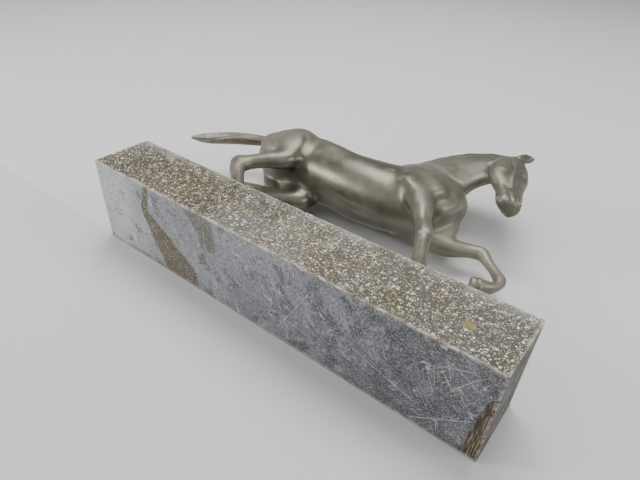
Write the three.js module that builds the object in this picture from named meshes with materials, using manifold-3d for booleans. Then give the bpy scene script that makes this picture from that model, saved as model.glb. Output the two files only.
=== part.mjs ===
// A bronze horse on a long stone plinth, in millimetres.
// +X is the way the horse faces, +Y its left side, +Z up. The origin is the middle of the
// plinth's underside. The casting is built as one body of overlapping lofts, then sawn along flat
// planes into the separate castings that a founder would pour and weld. Three steel studs,
// set in resin, hold the planted hooves to the stone.

import * as THREE from 'three';
import { mergeVertices } from 'three/addons/utils/BufferGeometryUtils.js';
import Module from 'manifold-3d';

// ---- driving dimensions ------------------------------------------------------------------

const PLINTH_LENGTH = 400;
const PLINTH_WIDTH = 84;
const PLINTH_HEIGHT = 60;
const PLINTH_ARRIS = 0.8; // small chamfer along every edge of the stone

const GAP = 0.3; // between neighbouring pieces
const WALL = 4.5; // thickness of the hollow casting

const STUD_RADIUS = 2;
const STUD_FOOT = PLINTH_HEIGHT - 30; // lower end of a stud
const STUD_TOP = PLINTH_HEIGHT + 7.5; // upper end, inside the hoof
const HOLE_RADIUS = 4.5; // blind hole drilled in the stone
const HOLE_DEPTH = 33;

const FORE_HOOF = [110, -16];
const RIGHT_HIND_HOOF = [-85, -16];
const LEFT_HIND_HOOF = [-91, 16];

// Each station of a loft is x, y, z, half width across, half depth on the outer side,
// half depth on the inner side, and a turn about the path in degrees.
// The outer side is up on the barrel and tail, the crest of the neck and the front of a leg.

const BARREL = [
  [-154, 0, 199, 12, 15, 20, 0],
  [-143, 0, 197, 24, 27, 30, 0],
  [-120, 0, 195, 31, 34, 38, 0],
  [-92, 0, 192, 31, 34, 34, 0],
  [-58, 0, 189, 31.5, 31, 32, 0],
  [-20, 0, 188, 33, 30, 35, 0],
  [14, 0, 192, 33, 36, 39, 0],
  [42, 0, 200, 30, 42, 40, 0],
  [62, 0, 203, 26, 36, 38, 0],
  [75, 0, 200, 17, 26, 28, 0],
];

const BARREL_CAVITY = [
  [-142, 0, 196, 12, 15, 18, 0],
  [-120, 0, 195, 31 - WALL, 34 - WALL, 38 - WALL, 0],
  [-92, 0, 192, 31 - WALL, 34 - WALL, 34 - WALL, 0],
  [-58, 0, 189, 31.5 - WALL, 31 - WALL, 32 - WALL, 0],
  [-20, 0, 188, 33 - WALL, 30 - WALL, 35 - WALL, 0],
  [14, 0, 192, 33 - WALL, 36 - WALL, 39 - WALL, 0],
  [42, 0, 200, 30 - WALL, 42 - WALL, 40 - WALL, 0],
  [62, 0, 203, 18, 24, 26, 0],
];

const NECK = [
  [20, 0, 222, 25, 34, 42, 0],
  [36, -3, 250, 20, 31, 36, 0],
  [49, -8, 274, 16, 27, 28, 0],
  [66, -13, 291, 13, 22, 23, 0],
  [84, -17, 301, 11.5, 16, 18, 0],
];

const NECK_CAVITY = [
  [22, 0, 224, 17, 22, 28, 0],
  [36, -3, 250, 20 - WALL, 31 - WALL, 36 - WALL, 0],
  [49, -8, 274, 16 - WALL, 27 - WALL, 28 - WALL, 0],
  [58, -11, 284, 7, 14, 15, 0],
];

const HEAD = [
  [90, -18, 309, 9, 8, 11, -30],
  [95, -18, 297, 12.5, 12, 21, -30],
  [100, -18.5, 284, 14, 15, 26, -30],
  [105, -19, 269, 13.5, 14, 29, -30],
  [110, -19, 255, 12, 10.5, 27, -30],
  [115, -18.5, 242, 10, 8.5, 20, -30],
  [119.5, -18, 229, 9.5, 9, 17.5, -30],
  [123, -17.5, 220, 8.5, 8, 16, -30],
];

const RIGHT_EAR = [
  [94.5, -26.5, 304, 3.6, 3.2, 3.2, -30],
  [97, -26.8, 309, 5, 2.8, 2.8, -30],
  [100.5, -26, 315.5, 5.6, 2, 2, -30],
  [104, -24.5, 322, 4, 1.5, 1.5, -30],
  [106.5, -23.5, 326.5, 1.6, 1, 1, -30],
];

const LEFT_EAR = [
  [86.4, -11.6, 301.1, 3.6, 3.2, 3.2, -30],
  [86.7, -7.9, 305.3, 5, 2.8, 2.8, -30],
  [88.3, -3.5, 311.1, 5.6, 2, 2, -30],
  [90.4, 0.5, 317.1, 4, 1.5, 1.5, -30],
  [91.9, 3.3, 321.3, 1.6, 1, 1, -30],
];

const RIGHT_FORELEG = [
  [36, -20, 200, 11, 24, 20, 0],
  [48, -22, 180, 11.5, 16, 17, 0],
  [62, -21, 160, 9, 10.5, 11.5, 0],
  [74, -19, 141, 6.6, 7.2, 7.6, 0],
  [80, -18.5, 131, 7.2, 8, 7.4, 0],
  [86, -17.5, 118, 5.2, 6.6, 7.2, 0],
  [96, -17, 95, 5, 6, 7, 0],
  [103, -16, 80, 6.4, 6.8, 7.6, 0],
  [107, -16, 72, 5.8, 6.4, 6.2, 0],
  [109, -16, 66, 8.2, 9.5, 7.5, 0],
  [110, -16, 58, 9.4, 12, 9, 0],
];

const LEFT_FORELEG = [
  [46, 14, 192, 15, 26, 24, 0],
  [68, 18, 179, 13, 19, 15, 0],
  [88, 20, 179, 9.5, 12, 10, 0],
  [106, 20, 187, 6.6, 7.6, 8, 0],
  [116, 20, 189, 7, 7.4, 6.6, 0],
  [126, 20, 181, 4.8, 5.4, 5.6, 0],
  [140, 20, 168, 4.9, 5.4, 5.6, 0],
  [146, 20, 160.5, 5.8, 5.8, 6.4, 0],
  [146, 20, 153, 4.8, 4.8, 4.8, 0],
  [143, 20, 147.5, 5.8, 5.6, 5, 0],
  [138, 20, 144, 7.8, 8, 6, 0],
  [127, 20, 139, 9.4, 10.5, 7, 0],
];

const RIGHT_HINDLEG = [
  [-116, -18, 199, 16, 28, 26, 0],
  [-106, -20, 178, 16, 24, 27, 0],
  [-98, -20, 156, 11, 15, 17, 0],
  [-112, -20, 138, 8, 10, 10, 0],
  [-123, -18.5, 125, 7.4, 9, 9, 0],
  [-125, -18, 115, 7.2, 8.4, 10, 0],
  [-116, -17.5, 103, 5.6, 7, 8, 0],
  [-102, -17, 89, 5.4, 6.4, 7, 0],
  [-94, -16, 78, 6.4, 7, 7.6, 0],
  [-89.5, -16, 71, 5.8, 6.4, 6.2, 0],
  [-87, -16, 66, 8.2, 9, 7.5, 0],
  [-85, -16, 58, 9.4, 11.5, 9, 0],
];

const LEFT_HINDLEG = [
  [-112, 16, 196, 16, 28, 28, 0],
  [-90, 19, 174, 16, 25, 26, 0],
  [-76, 19, 152, 13, 17, 16, 0],
  [-99, 18, 136, 9, 10, 10, 0],
  [-124, 17, 130, 7.4, 8.6, 9, 0],
  [-131, 17, 121, 7.2, 8.2, 9.4, 0],
  [-123, 16.5, 108, 5.8, 6.8, 7.8, 0],
  [-110, 16, 93, 5.4, 6.2, 7, 0],
  [-101, 16, 80, 6.4, 7, 7.6, 0],
  [-97, 16, 72, 5.8, 6.4, 6.2, 0],
  [-94, 16, 66, 8.2, 9, 7.5, 0],
  [-91, 16, 58, 9.4, 11.5, 9, 0],
];

const TAIL = [
  [-144, 1, 205, 9, 11, 10, 0],
  [-156, 1.5, 211, 7.2, 8, 8, 0],
  [-168, 2, 212, 6.2, 6.8, 6.8, 0],
  [-182, 2, 207, 6.5, 7, 6.5, 0],
  [-198, -1, 191, 7, 7.5, 7.5, 0],
  [-209, -6, 168, 7, 7.5, 7.5, 0],
  [-216, -10, 149, 5.5, 5.5, 6, 0],
  [-224, -13, 136, 2.5, 2.5, 2.5, 0],
];

// Each seam is a flat saw cut. The block on the far side of the cut holds the piece:
// at is a point of the cut, away the direction into the piece, and the block reaches
// deep along it, span wide in the horse's length, and from low to high across the horse.
// The cuts are made in this order. The left hind leg takes a second block for its foot.
const SEAMS = {
  head: [{ at: [84, 0, 275], away: [1, 0, 0], deep: 70, span: 130, low: -65, high: 15 }],
  neck: [{ at: [40, 0, 246], away: [0.25, 0, 0.967], deep: 120, span: 130, low: -60, high: 60 }],
  right_foreleg: [{ at: [62, 0, 160], away: [0.57, 0, -0.82], deep: 140, span: 75, low: -45, high: -3 }],
  left_foreleg: [{ at: [87, 0, 160], away: [1, 0, 0], deep: 80, span: 84, low: 2, high: 45 }],
  right_hindleg: [{ at: [-108, 0, 143], away: [-0.4, 0, -0.917], deep: 100, span: 150, low: -45, high: -3 }],
  left_hindleg: [{ at: [-100, 0, 142], away: [-0.4, 0, -0.917], deep: 100, span: 150, low: 2, high: 45 }],
  tail: [{ at: [-165, 0, 200], away: [-1, 0, 0], deep: 100, span: 160, low: -40, high: 40 }],
};

// ---- lofting -----------------------------------------------------------------------------

// A smooth curve through the stations, taken at count even steps of path length.
function sampleStations(stations, count) {
  const reach = [0];
  for (let i = 1; i < stations.length; i++) {
    const step = Math.hypot(
      stations[i][0] - stations[i - 1][0],
      stations[i][1] - stations[i - 1][1],
      stations[i][2] - stations[i - 1][2],
    );
    reach.push(reach[i - 1] + step);
  }
  const last = stations.length - 1;
  const slope = (a, b, k) => (stations[b][k] - stations[a][k]) / (reach[b] - reach[a]);
  const tangent = (i, k) => {
    if (i === 0) return slope(0, 1, k);
    if (i === last) return slope(last - 1, last, k);
    const before = reach[i] - reach[i - 1];
    const after = reach[i + 1] - reach[i];
    return (slope(i - 1, i, k) * after + slope(i, i + 1, k) * before) / (before + after);
  };
  const rows = [];
  for (let n = 0; n < count; n++) {
    const along = (reach[last] * n) / (count - 1);
    let i = 0;
    while (i < last - 1 && along > reach[i + 1]) i++;
    const h = reach[i + 1] - reach[i];
    const x = (along - reach[i]) / h;
    const row = [];
    for (let k = 0; k < 7; k++) {
      const p = (2 * x ** 3 - 3 * x ** 2 + 1) * stations[i][k];
      const q = (3 * x ** 2 - 2 * x ** 3) * stations[i + 1][k];
      const m = (x ** 3 - 2 * x ** 2 + x) * h * tangent(i, k);
      const w = (x ** 3 - x ** 2) * h * tangent(i + 1, k);
      row.push(p + q + m + w);
    }
    rows.push(row);
  }
  return rows;
}

// A closed body through oval sections, with a rounded cap at each end.
function loft(stations, count, around, capStart = 0.5, capEnd = 0.5) {
  const rows = sampleStations(stations, count);
  const centres = rows.map((r) => new THREE.Vector3(r[0], r[1], r[2]));
  const points = [];
  const triangles = [];
  const frameAt = (i) => {
    const ahead = centres[Math.min(i + 1, count - 1)];
    const behind = centres[Math.max(i - 1, 0)];
    const along = ahead.clone().sub(behind).normalize();
    const side = new THREE.Vector3(0, 1, 0).addScaledVector(along, -along.y).normalize();
    const front = along.clone().cross(side);
    const turn = THREE.MathUtils.degToRad(rows[i][6]);
    const across = side.clone().multiplyScalar(Math.cos(turn));
    across.addScaledVector(front, Math.sin(turn));
    front.multiplyScalar(Math.cos(turn)).addScaledVector(side, -Math.sin(turn));
    return { along, across, front };
  };
  const addRing = (i, scale, shift) => {
    const { along, across, front } = frameAt(i);
    for (let j = 0; j < around; j++) {
      const angle = (2 * Math.PI * j) / around;
      const depth = Math.sin(angle) > 0 ? rows[i][4] : rows[i][5];
      const p = centres[i].clone().addScaledVector(along, shift);
      p.addScaledVector(across, scale * rows[i][3] * Math.cos(angle));
      p.addScaledVector(front, scale * depth * Math.sin(angle));
      points.push(p);
    }
  };
  const meanRadius = (i) => (rows[i][3] + rows[i][4] + rows[i][5]) / 3;
  const startDepth = meanRadius(0) * capStart;
  const endDepth = meanRadius(count - 1) * capEnd;
  const bends = [0.85, 0.5];
  for (const b of bends) {
    const a = (b * Math.PI) / 2;
    addRing(0, Math.cos(a), -startDepth * Math.sin(a));
  }
  for (let i = 0; i < count; i++) addRing(i, 1, 0);
  for (const b of bends.slice().reverse()) {
    const a = (b * Math.PI) / 2;
    addRing(count - 1, Math.cos(a), endDepth * Math.sin(a));
  }
  const rings = points.length / around;
  const startPole = points.length;
  points.push(centres[0].clone().addScaledVector(frameAt(0).along, -startDepth));
  points.push(centres[count - 1].clone().addScaledVector(frameAt(count - 1).along, endDepth));
  for (let r = 0; r < rings - 1; r++) {
    for (let j = 0; j < around; j++) {
      const k = (j + 1) % around;
      const a = r * around + j;
      const b = r * around + k;
      triangles.push(a, b, b + around, a, b + around, a + around);
    }
  }
  const top = (rings - 1) * around;
  for (let j = 0; j < around; j++) {
    const k = (j + 1) % around;
    triangles.push(startPole, k, j);
    triangles.push(startPole + 1, top + j, top + k);
  }
  const geometry = new THREE.BufferGeometry();
  geometry.setFromPoints(points);
  geometry.setIndex(triangles);
  return geometry;
}

// ---- joining and cutting -----------------------------------------------------------------

const wasm = await Module();
wasm.setup();

function toSolid(geometry) {
  const bare = geometry.clone();
  bare.deleteAttribute('normal');
  bare.deleteAttribute('uv');
  const merged = mergeVertices(bare, 1e-4);
  return new wasm.Manifold(new wasm.Mesh({
    numProp: 3,
    vertProperties: new Float32Array(merged.attributes.position.array),
    triVerts: new Uint32Array(merged.index.array),
  }));
}

function toGeometry(solid) {
  const mesh = solid.getMesh();
  const geometry = new THREE.BufferGeometry();
  geometry.setAttribute('position', new THREE.BufferAttribute(mesh.vertProperties, 3));
  geometry.setIndex(new THREE.BufferAttribute(mesh.triVerts, 1));
  geometry.computeVertexNormals();
  return geometry;
}

// The block on the far side of a seam, moved back along the cut by setback.
function seamBlock({ at, away, deep, span, low, high }, setback = 0) {
  const along = new THREE.Vector3(...away).normalize();
  const side = new THREE.Vector3(0, 1, 0).addScaledVector(along, -along.y).normalize();
  const across = side.clone().cross(along);
  const width = high - low + 2 * setback;
  const block = new THREE.BoxGeometry(span + 2 * setback, width, deep + setback);
  block.translate(0, 0, (deep - setback) / 2);
  const middle = new THREE.Vector3(...at);
  middle.y = (low + high) / 2;
  const frame = new THREE.Matrix4().makeBasis(across, side, along);
  frame.setPosition(middle);
  block.applyMatrix4(frame);
  return toSolid(block);
}

function joined(solids) {
  return solids.slice(1).reduce((whole, solid) => whole.add(solid), solids[0]);
}

function upright(radius, low, high, [x, y], sides = 24) {
  const bar = new THREE.CylinderGeometry(radius, radius, high - low, sides);
  bar.rotateX(Math.PI / 2);
  bar.translate(x, y, (low + high) / 2);
  return bar;
}

// ---- the casting -------------------------------------------------------------------------

const masses = [
  loft(BARREL, 34, 28, 0.5, 0.25),
  loft(NECK, 18, 20, 0.3, 0.4),
  loft(HEAD, 18, 20, 0.6, 0.5),
  loft(RIGHT_EAR, 6, 8),
  loft(LEFT_EAR, 6, 8),
  loft(RIGHT_FORELEG, 26, 14, 0.6, 0.1),
  loft(LEFT_FORELEG, 28, 14, 0.6, 0.2),
  loft(RIGHT_HINDLEG, 30, 14, 0.6, 0.1),
  loft(LEFT_HINDLEG, 30, 14, 0.6, 0.1),
  loft(TAIL, 20, 12, 0.5, 0.8),
];

let horse = joined(masses.map(toSolid));

const ground = new THREE.BoxGeometry(600, 200, 40);
ground.translate(0, 0, PLINTH_HEIGHT + GAP - 20);
horse = horse.subtract(toSolid(ground));
horse = horse.subtract(toSolid(loft(BARREL_CAVITY, 20, 20)));
horse = horse.subtract(toSolid(loft(NECK_CAVITY, 10, 16)));

const hooves = { right_fore: FORE_HOOF, right_hind: RIGHT_HIND_HOOF, left_hind: LEFT_HIND_HOOF };
for (const place of Object.values(hooves)) {
  const socket = upright(STUD_RADIUS + GAP, PLINTH_HEIGHT - 5, STUD_TOP + GAP, place, 16);
  horse = horse.subtract(toSolid(socket));
}

const castings = {};
let remainder = horse;
for (const [name, blocks] of Object.entries(SEAMS)) {
  castings[name] = remainder.intersect(joined(blocks.map((b) => seamBlock(b))));
  remainder = remainder.subtract(joined(blocks.map((b) => seamBlock(b, GAP))));
}
castings.torso = remainder;

// ---- the stone, its holes and the fixings --------------------------------------------------

const outline = new THREE.Shape();
const halfLength = PLINTH_LENGTH / 2 - PLINTH_ARRIS;
const halfWidth = PLINTH_WIDTH / 2 - PLINTH_ARRIS;
outline.moveTo(-halfLength, -halfWidth);
outline.lineTo(halfLength, -halfWidth);
outline.lineTo(halfLength, halfWidth);
outline.lineTo(-halfLength, halfWidth);
outline.closePath();
const slab = new THREE.ExtrudeGeometry(outline, {
  depth: PLINTH_HEIGHT - 2 * PLINTH_ARRIS,
  bevelEnabled: true,
  bevelThickness: PLINTH_ARRIS,
  bevelSize: PLINTH_ARRIS,
  bevelSegments: 1,
});
slab.translate(0, 0, PLINTH_ARRIS);
let plinth = toSolid(slab);
for (const place of Object.values(hooves)) {
  const hole = upright(HOLE_RADIUS, PLINTH_HEIGHT - HOLE_DEPTH, PLINTH_HEIGHT + 5, place);
  plinth = plinth.subtract(toSolid(hole));
}

// A cup of hardened resin around the stud, level with the top of the stone.
function resinCup([x, y]) {
  const foot = PLINTH_HEIGHT - HOLE_DEPTH + GAP;
  const profile = [
    [0, foot],
    [HOLE_RADIUS - GAP, foot],
    [HOLE_RADIUS - GAP, PLINTH_HEIGHT - GAP],
    [STUD_RADIUS + GAP, PLINTH_HEIGHT - GAP],
    [STUD_RADIUS + GAP, STUD_FOOT - GAP],
    [0, STUD_FOOT - GAP],
  ].map(([r, z]) => new THREE.Vector2(r, z));
  const cup = new THREE.LatheGeometry(profile, 20);
  cup.rotateX(Math.PI / 2);
  cup.translate(x, y, 0);
  return cup;
}

// ---- the finished group --------------------------------------------------------------------

const BRONZE = { color: 0x4a4336, roughness: 0.38, metalness: 0.9 };
const STONE = { color: 0x63646a, roughness: 0.75, metalness: 0 };
const STEEL = { color: 0x9a9a98, roughness: 0.4, metalness: 1 };
const RESIN = { color: 0xb9ab86, roughness: 0.5, metalness: 0 };

const group = new THREE.Group();

function addPiece(name, geometry, look) {
  const mesh = new THREE.Mesh(geometry, new THREE.MeshStandardMaterial(look));
  mesh.name = name;
  group.add(mesh);
}

addPiece('plinth', toGeometry(plinth), STONE);
for (const [name, solid] of Object.entries(castings)) addPiece(name, toGeometry(solid), BRONZE);
for (const [leg, place] of Object.entries(hooves)) {
  addPiece(`${leg}_stud`, upright(STUD_RADIUS, STUD_FOOT, STUD_TOP, place, 16), STEEL);
  addPiece(`${leg}_resin`, resinCup(place), RESIN);
}

export default group;
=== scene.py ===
# %% [markdown]
# # A bronze horse on a stone plinth
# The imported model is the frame: it says how long the stone is, where each hoof stands and where
# the founder's seams run. Everything made below is fitted to it, so nothing is moved afterwards.

# %% Load the frame
import bmesh
import bpy
import numpy as np
from mathutils import Matrix, Vector


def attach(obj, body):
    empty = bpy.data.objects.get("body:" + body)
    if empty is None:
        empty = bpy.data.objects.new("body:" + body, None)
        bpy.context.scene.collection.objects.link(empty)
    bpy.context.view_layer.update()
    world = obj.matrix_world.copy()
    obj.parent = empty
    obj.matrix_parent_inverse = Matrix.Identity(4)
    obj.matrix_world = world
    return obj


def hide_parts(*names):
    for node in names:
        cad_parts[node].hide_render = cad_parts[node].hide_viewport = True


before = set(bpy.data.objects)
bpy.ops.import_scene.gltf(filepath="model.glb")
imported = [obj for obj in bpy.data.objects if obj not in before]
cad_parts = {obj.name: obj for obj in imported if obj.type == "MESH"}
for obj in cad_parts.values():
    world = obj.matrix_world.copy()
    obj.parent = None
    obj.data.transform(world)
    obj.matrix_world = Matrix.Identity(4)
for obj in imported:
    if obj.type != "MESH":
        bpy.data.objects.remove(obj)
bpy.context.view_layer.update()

MM = 0.001
LENGTH, WIDTH, HEIGHT = (round(side / MM, 2) for side in bpy.data.objects["plinth"].dimensions)
GAP = 0.3
GROUND = HEIGHT + GAP
print("plinth", LENGTH, "x", WIDTH, "x", HEIGHT, "mm, the hooves stand", GAP, "mm above it")

# %% [markdown]
# ## Clay forms
# A sculptor starts a horse with rolls of clay: one for the barrel, one for each leg, smaller ones
# for the muscles. Each roll here is an oval swept along a smooth path. The path and the oval are
# given at a few stations, in millimetres, and a cubic curve fills in between them.

# %% A smooth path


def smooth_rows(stations, count):
    """Rows at even steps of path length. Between two stations each column is the cubic that
    meets both values, with a slope there that is the mean of the slopes on either side,
    weighted towards the nearer neighbour."""
    table = np.asarray(stations, float)
    reach = np.r_[0, np.cumsum(np.linalg.norm(np.diff(table[:, :3], axis=0), axis=1))]
    gap = np.diff(reach)[:, None]
    slope = np.diff(table, axis=0) / gap
    inner = (slope[:-1] * gap[1:] + slope[1:] * gap[:-1]) / (gap[:-1] + gap[1:])
    tangent = np.vstack([slope[:1], inner, slope[-1:]])
    along = np.linspace(0, reach[-1], count)
    i = np.clip(np.searchsorted(reach, along, side="right") - 1, 0, len(table) - 2)
    h = gap[i]
    x = (along[:, None] - reach[i][:, None]) / h
    return (
        (2 * x**3 - 3 * x**2 + 1) * table[i]
        + (x**3 - 2 * x**2 + x) * h * tangent[i]
        + (3 * x**2 - 2 * x**3) * table[i + 1]
        + (x**3 - x**2) * h * tangent[i + 1]
    )


def unit(vectors):
    return vectors / np.maximum(np.linalg.norm(vectors, axis=-1, keepdims=True), 1e-12)


def path_frames(centres, turn):
    """At each centre: the direction along the path, across it (the left-hand side of the horse
    made square to the path) and to its front (along x across), the last two turned about the
    path by an angle in degrees."""
    along = unit(np.gradient(centres, axis=0))
    left = np.array([0.0, 1.0, 0.0])
    side = unit(left - along * (along @ left)[:, None])
    front = np.cross(along, side)
    c, s = np.cos(np.radians(turn)), np.sin(np.radians(turn))
    return along, side * c + front * s, front * c - side * s


print("an arch in five rows:", smooth_rows([(0, 0, 0), (30, 0, 30), (60, 0, 0)], 5)[:, 2].round(1))

# %% [markdown]
# An oval is carried along the path on a frame of three directions. Squaring it off a little
# takes only a change of power, and a dome closes either end, so every roll is a closed body
# that can be fused with the others.

# %% A roll of clay
DOME = np.radians([84, 66, 44, 22])


def roll(stations, count, around, domes, power=2.0, turn=0.0):
    """A closed roll. A point at step u and angle v is centre(u) + across(u) * width(u) * C(v)
    + front(u) * depth(u) * S(v), where C and S are the cosine and sine of v raised to 2 / power
    with their signs kept. Beyond either end the oval shrinks by a cosine while it moves out by
    a sine, which makes a dome."""
    rows = smooth_rows(stations, count)
    along, across, front = path_frames(rows[:, :3], turn)
    size = rows[:, 3:6].mean(axis=1)
    row = np.r_[np.zeros(4, int), np.arange(count), np.full(4, count - 1)]
    scale = np.r_[np.cos(DOME), np.ones(count), np.cos(DOME[::-1])][:, None]
    push = np.r_[
        -np.sin(DOME) * size[0] * domes[0], np.zeros(count), np.sin(DOME[::-1]) * size[-1] * domes[1]
    ][:, None]
    angle = np.linspace(0, 2 * np.pi, around, endpoint=False)
    c = np.sign(np.cos(angle)) * np.abs(np.cos(angle)) ** (2 / power)
    s = np.sign(np.sin(angle)) * np.abs(np.sin(angle)) ** (2 / power)
    depth = np.where(s > 0, rows[row, 4:5], rows[row, 5:6]) * scale
    skin = (
        (rows[row, :3] + along[row] * push)[:, None]
        + across[row][:, None] * (rows[row, 3:4] * scale * c)[..., None]
        + front[row][:, None] * (depth * s)[..., None]
    )
    poles = [
        rows[0, :3] - along[0] * size[0] * domes[0],
        rows[-1, :3] + along[-1] * size[-1] * domes[1],
    ]
    return np.vstack([skin.reshape(-1, 3), poles]), tube_faces(len(row), around)


def tube_faces(rings, around):
    """Quads between neighbouring rings, and a fan of triangles to a pole at either end."""
    j = np.arange(around)
    k = (j + 1) % around
    base = np.arange(rings - 1)[:, None] * around
    quads = np.stack([base + j, base + k, base + around + k, base + around + j], axis=-1)
    first, last = rings * around, rings * around + 1
    top = (rings - 1) * around
    fans = np.vstack([
        np.c_[np.full(around, first), k, j],
        np.c_[np.full(around, last), top + j, top + k],
    ])
    return [*map(tuple, quads.reshape(-1, 4)), *map(tuple, fans)]


print("a roll of 8 rings of 6 points has", len(tube_faces(8, 6)), "faces")


# %% [markdown]
# ## The horse, station by station
# Each row is x, y, z, half width across, half depth in front and half depth behind. "In front"
# is the back of the barrel, the crest of the neck and the front of a leg. +X is where the horse
# goes, +Y is its left side. The head alone is turned about its own length, by some degrees.

# %% The big masses
BARREL = [
    (-154, 0, 199, 12, 15, 20),
    (-143, 0, 197, 24, 27, 30),
    (-120, 0, 195, 30, 34, 37),
    (-92, 0, 192, 30, 34, 33),
    (-58, 0, 189, 31.5, 31, 32),
    (-20, 0, 188, 33, 30, 35),
    (14, 0, 192, 32, 36, 39),
    (42, 0, 200, 29, 42, 40),
    (62, 0, 203, 25, 36, 38),
    (75, 0, 200, 17, 26, 28),
]
NECK = [
    (20, 0, 222, 23, 34, 42),
    (36, -3, 250, 18, 31, 36),
    (49, -8, 274, 14.5, 27, 28),
    (66, -13, 291, 12, 22, 23),
    (84, -17, 301, 10.5, 16, 18),
]
HEAD_TURN = -30
HEAD = [
    (90, -18, 309, 9, 8, 11),
    (95, -18, 297, 12.5, 12, 21),
    (100, -18.5, 284, 14, 15, 26),
    (105, -19, 269, 13.5, 14, 29),
    (110, -19, 255, 12, 10.5, 27),
    (115, -18.5, 242, 10, 8.5, 20),
    (119.5, -18, 229, 9.5, 9, 17.5),
    (123, -17.5, 220, 8.5, 8, 16),
]
TAIL = [
    (-144, 1, 205, 9, 11, 10),
    (-156, 1.5, 211, 7.2, 8, 8),
    (-168, 2, 212, 6.2, 6.8, 6.8),
    (-182, 2, 207, 6.5, 7, 6.5),
    (-198, -1, 191, 7, 7.5, 7.5),
    (-209, -6, 168, 7, 7.5, 7.5),
    (-216, -10, 149, 5.5, 5.5, 6),
    (-224, -13, 136, 2.5, 2.5, 2.5),
]
print("stations:", len(BARREL), "barrel,", len(NECK), "neck,", len(HEAD), "head,", len(TAIL), "tail")

# %% [markdown]
# A leg goes from the body down to the hoof. It is thin at the cannon, thick at the knee or
# hock and at the fetlock, and the last two rows are the hoof. The near foreleg and both hind
# legs end just under the level where they are sawn off flat, and the far foreleg is raised.

# %% The legs
RIGHT_FORELEG = [
    (36, -20, 200, 11, 24, 20),
    (48, -22, 180, 11.5, 16, 17),
    (62, -21, 160, 9, 10.5, 11.5),
    (74, -19, 141, 6.6, 7.2, 7.6),
    (80, -18.5, 131, 7.2, 8, 7.4),
    (86, -17.5, 118, 5.2, 6.6, 7.2),
    (96, -17, 95, 5, 6, 7),
    (103, -16, 80, 6.4, 6.8, 7.6),
    (107, -16, 72, 5.8, 6.4, 6.2),
    (109, -16, 66, 8.2, 9.5, 7.5),
    (110, -16, 58, 9.4, 12, 9),
]
LEFT_FORELEG = [
    (46, 14, 192, 15, 26, 24),
    (68, 18, 179, 13, 19, 15),
    (88, 20, 179, 9.5, 12, 10),
    (106, 20, 187, 6.6, 7.6, 8),
    (116, 20, 189, 7, 7.4, 6.6),
    (126, 20, 181, 4.8, 5.4, 5.6),
    (140, 20, 168, 4.9, 5.4, 5.6),
    (146, 20, 160.5, 5.8, 5.8, 6.4),
    (146, 20, 153, 4.8, 4.8, 4.8),
    (143, 20, 147.5, 5.8, 5.6, 5),
    (138, 20, 144, 7.8, 8, 6),
    (127, 20, 139, 9.4, 10.5, 7),
]
RIGHT_HINDLEG = [
    (-116, -18, 199, 16, 28, 26),
    (-106, -20, 178, 16, 24, 27),
    (-98, -20, 156, 11, 15, 17),
    (-112, -20, 138, 8, 10, 10),
    (-123, -18.5, 125, 7.4, 9, 9),
    (-125, -18, 115, 7.2, 8.4, 10),
    (-116, -17.5, 103, 5.6, 7, 8),
    (-102, -17, 89, 5.4, 6.4, 7),
    (-94, -16, 78, 6.4, 7, 7.6),
    (-89.5, -16, 71, 5.8, 6.4, 6.2),
    (-87, -16, 66, 8.2, 9, 7.5),
    (-85, -16, 58, 9.4, 11.5, 9),
]
LEFT_HINDLEG = [
    (-112, 16, 196, 16, 28, 28),
    (-90, 19, 174, 16, 25, 26),
    (-76, 19, 152, 13, 17, 16),
    (-99, 18, 136, 9, 10, 10),
    (-124, 17, 130, 7.4, 8.6, 9),
    (-131, 17, 121, 7.2, 8.2, 9.4),
    (-123, 16.5, 108, 5.8, 6.8, 7.8),
    (-110, 16, 93, 5.4, 6.2, 7),
    (-101, 16, 80, 6.4, 7, 7.6),
    (-97, 16, 72, 5.8, 6.4, 6.2),
    (-94, 16, 66, 8.2, 9, 7.5),
    (-91, 16, 58, 9.4, 11.5, 9),
]
for leg in (RIGHT_FORELEG, LEFT_FORELEG, RIGHT_HINDLEG, LEFT_HINDLEG):
    print("hoof at x, y, z", leg[-1][:3])

# %% [markdown]
# ## Muscles
# The forms that catch the light on a bronze are the ones a sculptor lays on last: the blade of
# the shoulder, the triceps, the breast, the haunch and the hamstrings. Each is a short roll half
# sunk in the body, and the fusing further on melts its edge away.

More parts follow.
